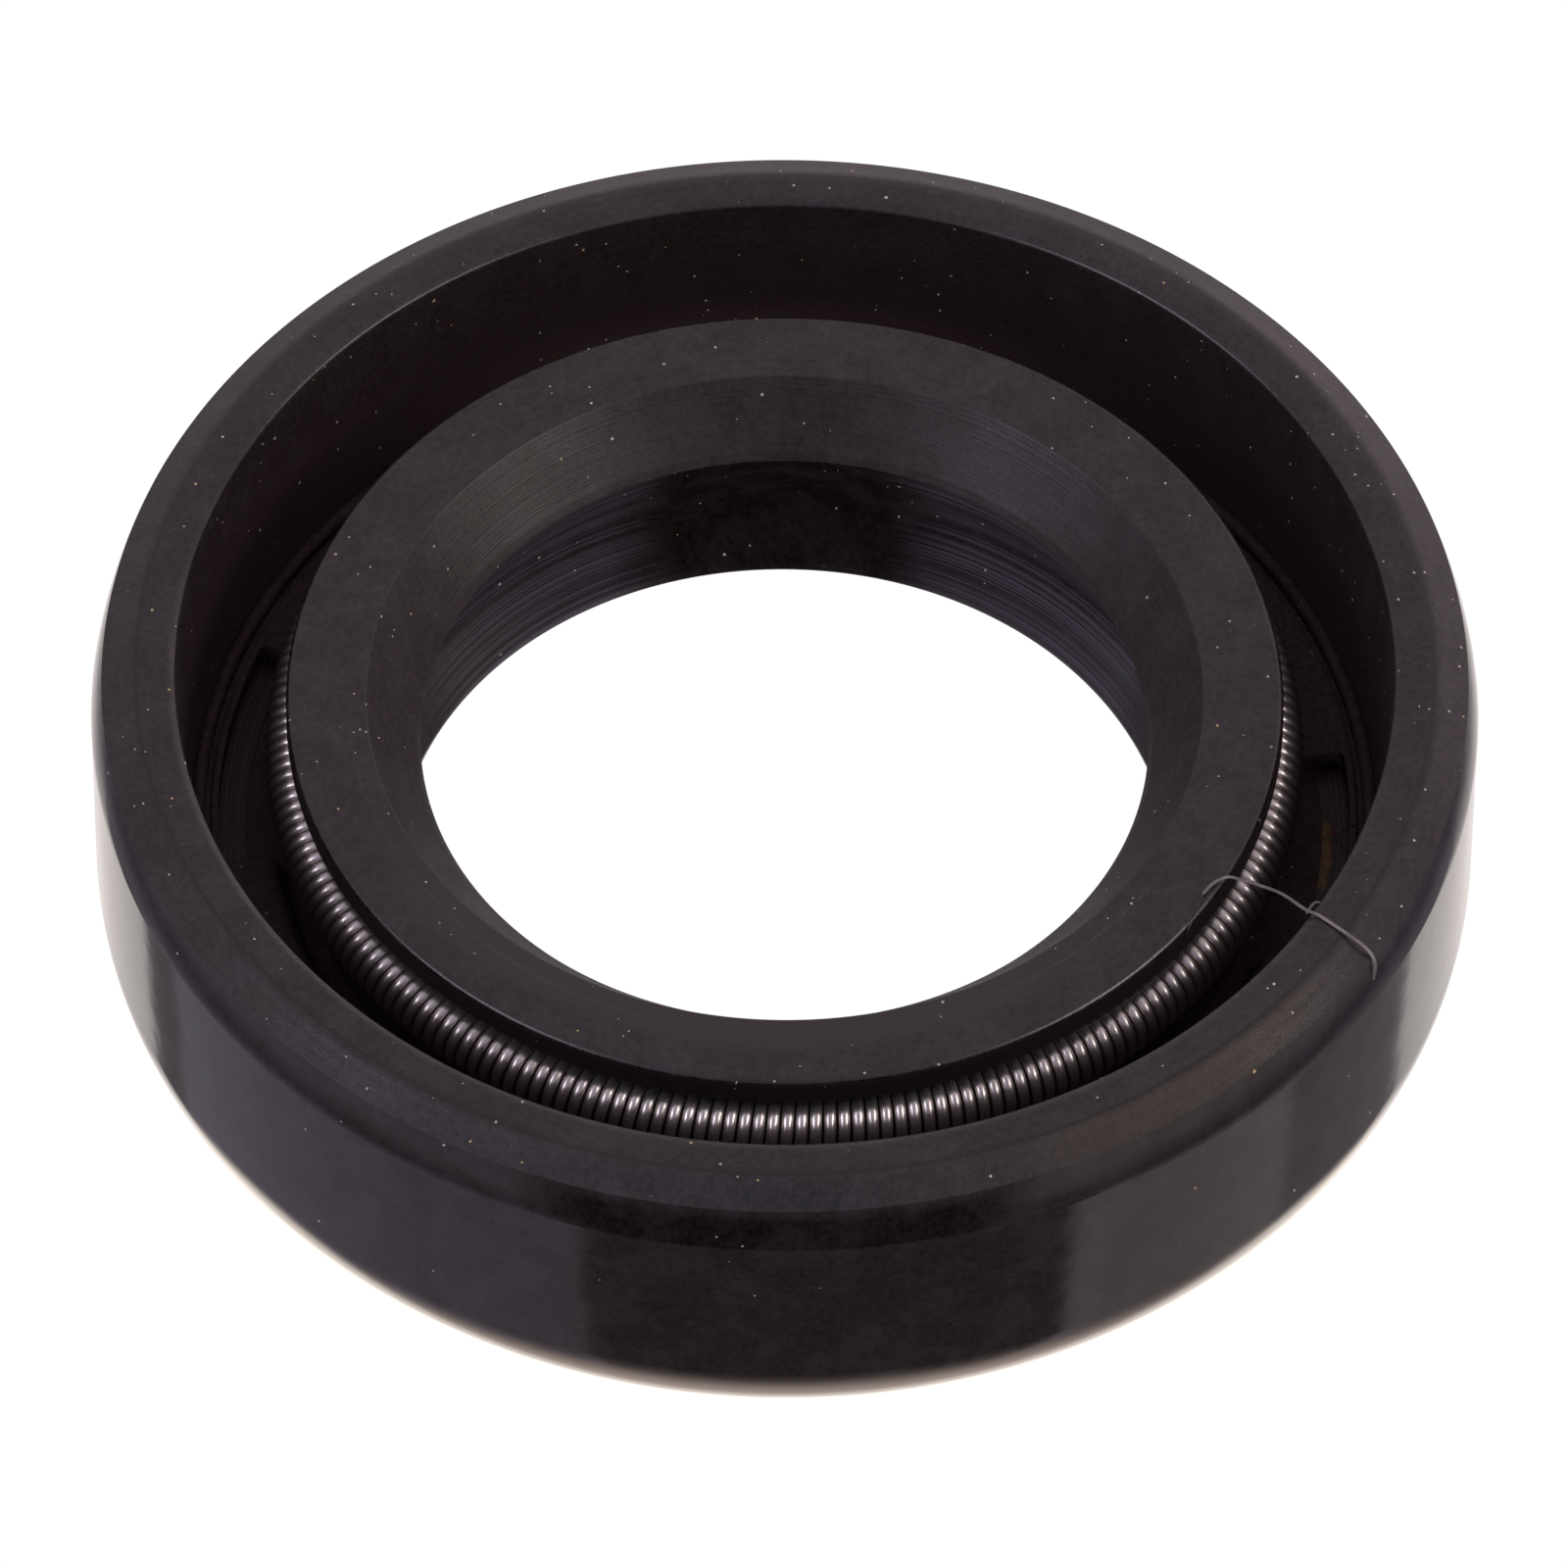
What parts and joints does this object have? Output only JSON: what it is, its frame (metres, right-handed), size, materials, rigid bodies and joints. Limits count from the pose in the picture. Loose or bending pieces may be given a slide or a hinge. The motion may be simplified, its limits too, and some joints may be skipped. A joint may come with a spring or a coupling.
{
  "type": "radial shaft seal",
  "caption": "Spring-loaded rubber lip seal with a rubber-covered outside, an embedded steel ring, a garter spring behind the lip and a dust lip on the back.",
  "frame": {"origin": "centre of the back face, on the axis", "axes": "+Z along the axis, from the back face with the dust lip to the rim on the spring side; +X and +Y lie in the back face, with a floor gap near +X"},
  "size_m": [0.028, 0.028, 0.007],
  "materials": {
    "black_rubber": "moulded satin nitrile rubber",
    "coated_steel": "dark bonding coat over pressed steel",
    "spring_steel": "oiled drawn spring wire"
  },
  "bodies": {
    "root": {"rubber_body": "black_rubber", "stiffening_ring": "coated_steel", "garter_spring": "spring_steel"}
  },
  "joints": []
}
